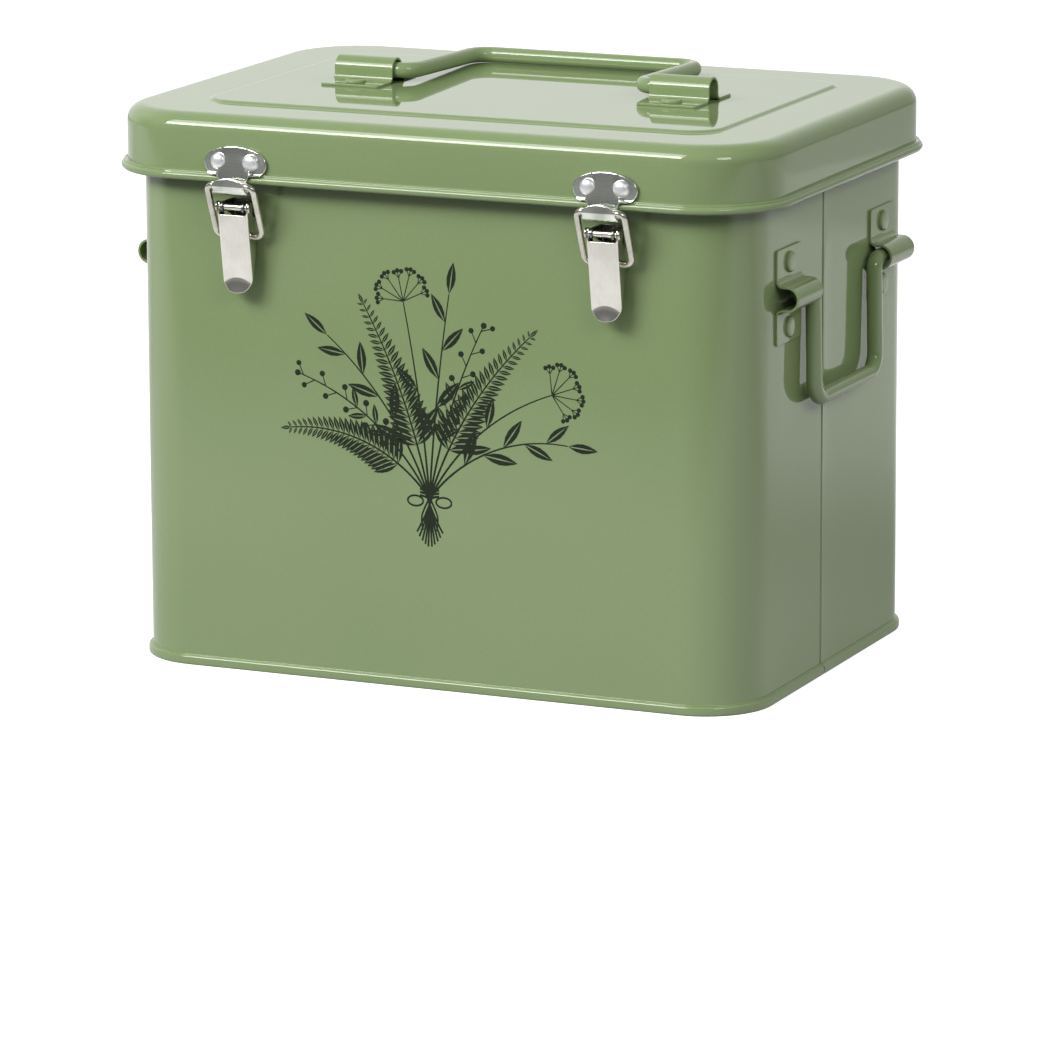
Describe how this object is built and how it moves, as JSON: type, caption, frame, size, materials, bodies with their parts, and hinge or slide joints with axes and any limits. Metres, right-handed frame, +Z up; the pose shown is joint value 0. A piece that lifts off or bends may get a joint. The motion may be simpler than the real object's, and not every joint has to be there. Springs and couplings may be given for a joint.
{
  "type": "garden seed organizer box",
  "caption": "Rounded rectangular sheet-steel box with a hinged lid, front draw latches, a folding top handle, side drop handles and upright dividers.",
  "frame": {"origin": "on the floor, under the middle of the box", "axes": "+Z up, -Y out of the front with the two latches, +X to the right along the front"},
  "size_m": [0.2894, 0.2243, 0.2378],
  "materials": {
    "green_paint": "glossy sage green enamel",
    "divider_paint": "satin sage green enamel",
    "nickel_steel": "bright nickel plate"
  },
  "bodies": {
    "box": {"body_shell": "green_paint", "base_pan": "green_paint", "long_divider": "divider_paint", "cross_divider_1": "divider_paint", "cross_divider_2": "divider_paint", "cross_divider_3": "divider_paint", "latch_base_left": "nickel_steel", "latch_base_right": "nickel_steel", "latch_base_rivets": "nickel_steel", "latch_pin_left": "nickel_steel", "latch_pin_right": "nickel_steel", "side_bracket_left_front": "green_paint", "side_bracket_left_rear": "green_paint", "side_bracket_right_front": "green_paint", "side_bracket_right_rear": "green_paint", "side_bracket_rivets": "green_paint", "hinge_body_leaf_left": "green_paint", "hinge_body_leaf_right": "green_paint", "hinge_pin_left": "green_paint", "hinge_pin_right": "green_paint", "hinge_body_rivets": "green_paint"},
    "lid": {"lid_shell": "green_paint", "keeper_left": "nickel_steel", "keeper_right": "nickel_steel", "keeper_rivets": "nickel_steel", "top_bracket_left": "green_paint", "top_bracket_right": "green_paint", "top_bracket_rivets": "green_paint", "hinge_lid_leaf_left": "green_paint", "hinge_lid_leaf_right": "green_paint", "hinge_lid_rivets": "green_paint"},
    "lever_left": {"latch_lever_left": "nickel_steel"},
    "lever_right": {"latch_lever_right": "nickel_steel"},
    "loop_left": {"latch_loop_left": "nickel_steel"},
    "loop_right": {"latch_loop_right": "nickel_steel"},
    "top_handle": {"top_handle": "green_paint"},
    "side_handle_left": {"side_handle_left": "green_paint"},
    "side_handle_right": {"side_handle_right": "green_paint"}
  },
  "joints": [
    {"name": "lid_hinge", "type": "hinge", "parent": "box", "child": "lid", "pos_m": [0, 0.1083, 0.198], "axis": [-1, 0, 0], "range_deg": [0, 105]},
    {"name": "lever_turn_left", "type": "hinge", "parent": "box", "child": "lever_left", "pos_m": [-0.08, -0.1055, 0.192], "axis": [-1, 0, 0], "range_deg": [0, 90]},
    {"name": "lever_turn_right", "type": "hinge", "parent": "box", "child": "lever_right", "pos_m": [0.08, -0.1055, 0.192], "axis": [-1, 0, 0], "range_deg": [0, 90]},
    {"name": "loop_turn_left", "type": "hinge", "parent": "lever_left", "child": "loop_left", "pos_m": [-0.08, -0.1002, 0.1796], "axis": [-1, 0, 0], "range_deg": [-43.2, 0]},
    {"name": "loop_turn_right", "type": "hinge", "parent": "lever_right", "child": "loop_right", "pos_m": [0.08, -0.1002, 0.1796], "axis": [-1, 0, 0], "range_deg": [-43.2, 0]},
    {"name": "top_handle_fold", "type": "hinge", "parent": "lid", "child": "top_handle", "pos_m": [0, 0, 0.2338], "axis": [1, 0, 0], "range_deg": [0, 177]},
    {"name": "side_handle_swing_left", "type": "hinge", "parent": "box", "child": "side_handle_left", "pos_m": [-0.14, 0.001, 0.163], "axis": [0, 1, 0], "range_deg": [-2, 165]},
    {"name": "side_handle_swing_right", "type": "hinge", "parent": "box", "child": "side_handle_right", "pos_m": [0.14, 0.001, 0.163], "axis": [0, -1, 0], "range_deg": [-2, 165]}
  ],
  "couplings": [
    {"joint": "loop_turn_left", "follows": "lever_turn_left", "ratio": -0.48},
    {"joint": "loop_turn_right", "follows": "lever_turn_right", "ratio": -0.48}
  ]
}
